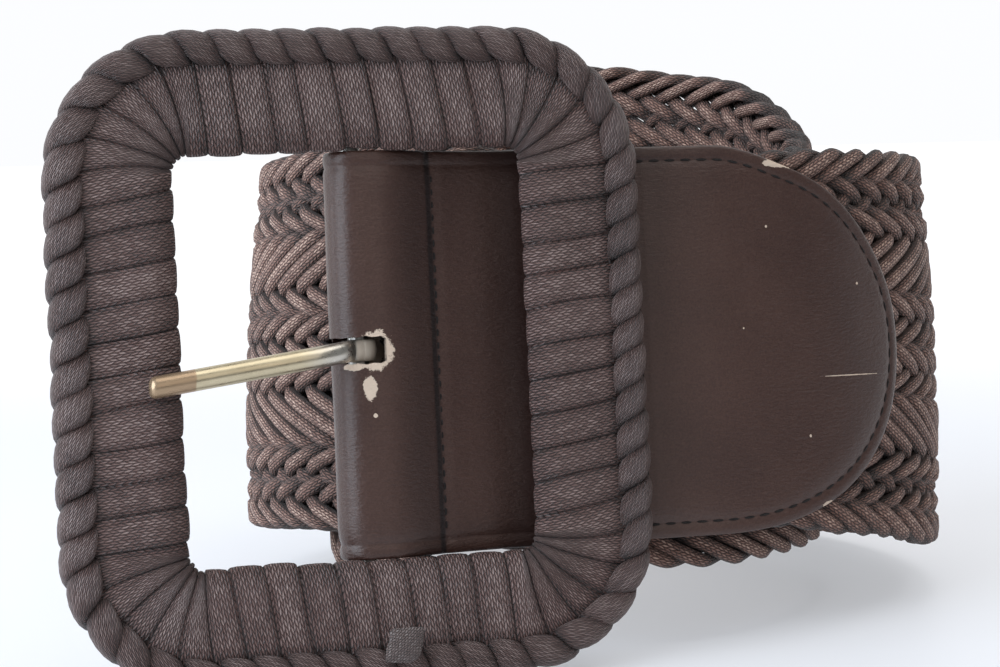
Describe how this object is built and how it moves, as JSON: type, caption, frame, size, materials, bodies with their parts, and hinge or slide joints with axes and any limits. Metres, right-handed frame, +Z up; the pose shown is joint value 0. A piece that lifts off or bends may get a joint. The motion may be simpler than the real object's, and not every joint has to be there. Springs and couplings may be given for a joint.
{
  "type": "waist belt",
  "caption": "Wide plaited waist belt rolled in a coil, with a leather buckle tab, a cord-wrapped rectangular frame buckle and a wire prong.",
  "frame": {"origin": "on the surface that the belt stands on, below the middle of its box", "axes": "+Z up, +X along the buckle towards the strap's side, +Y from the buckle towards the far side of the coil"},
  "size_m": [0.2012, 0.1692, 0.123],
  "materials": {
    "core_metal": "plain cast metal, hidden by the wrapping",
    "wrap_cord": "flattened braided cord, dark brown, slight sheen",
    "cord_end": "cut cord end, matt grey-brown",
    "prong_metal": "pale gold plated wire, worn to copper at the tip",
    "leather": "glossy dark brown, fine grain, worn pale at the prong",
    "strap_cord": "round waxed cord, matt grey-brown"
  },
  "bodies": {
    "belt": {"strap": "strap_cord", "leather_tab": "leather"},
    "buckle": {"buckle_core": "core_metal", "cord_wrap": "wrap_cord", "edge_ridge": "wrap_cord", "cord_end": "cord_end"},
    "prong": {"prong": "prong_metal"}
  },
  "joints": [
    {"name": "frame_turn", "type": "hinge", "parent": "belt", "child": "buckle", "pos_m": [-0.0424, -0.06706, 0.06112], "axis": [0, -0.1219, -0.9925], "range_deg": [0, 75]},
    {"name": "prong_swing", "type": "hinge", "parent": "buckle", "child": "prong", "pos_m": [-0.0424, -0.06706, 0.06112], "axis": [0, 0.1219, 0.9925], "range_deg": [0, 60]}
  ]
}
